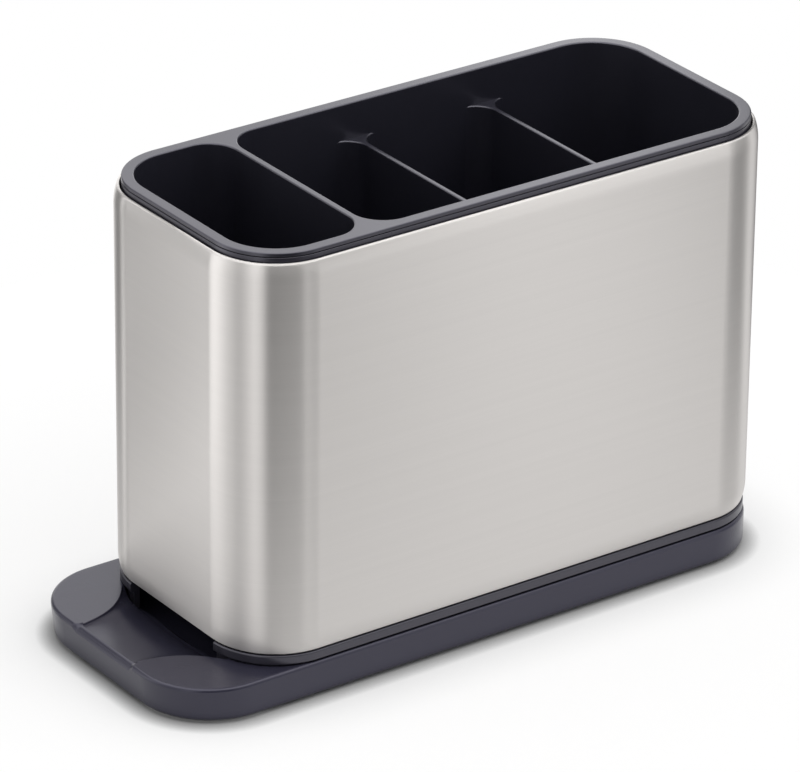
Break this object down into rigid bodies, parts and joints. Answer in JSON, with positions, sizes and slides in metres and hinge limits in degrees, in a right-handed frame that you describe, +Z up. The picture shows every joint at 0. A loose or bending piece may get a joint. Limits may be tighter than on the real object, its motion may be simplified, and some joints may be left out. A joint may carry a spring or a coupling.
{
  "type": "cutlery drainer",
  "caption": "Free-standing cutlery drainer: steel sleeve on a drip tray with a pouring spout, and a lift-out insert with compartments and drain holes.",
  "frame": {"origin": "under the middle of the whole object, on the surface that its feet stand on", "axes": "+Z up, X along the length with the spout at -X, Y across the width"},
  "size_m": [0.2429, 0.0998, 0.1608],
  "materials": {
    "satin_steel": "satin, finely brushed",
    "ring_plastic": "satin moulded",
    "insert_plastic": "satin moulded",
    "tray_plastic": "satin moulded",
    "foot_rubber": "matte"
  },
  "bodies": {
    "tray": {"drip_tray": "tray_plastic", "foot_spout_front": "foot_rubber", "foot_spout_back": "foot_rubber", "foot_end_front": "foot_rubber", "foot_end_back": "foot_rubber"},
    "casing": {"steel_sleeve": "satin_steel", "top_ring": "ring_plastic", "base_ring": "ring_plastic"},
    "insert": {"cutlery_insert": "insert_plastic"}
  },
  "joints": [
    {"name": "casing_lift", "type": "slide", "parent": "tray", "child": "casing", "axis": [0, 0, 1], "range_m": [0, 0.06]},
    {"name": "insert_lift", "type": "slide", "parent": "casing", "child": "insert", "axis": [0, 0, 1], "range_m": [0, 0.145]}
  ]
}
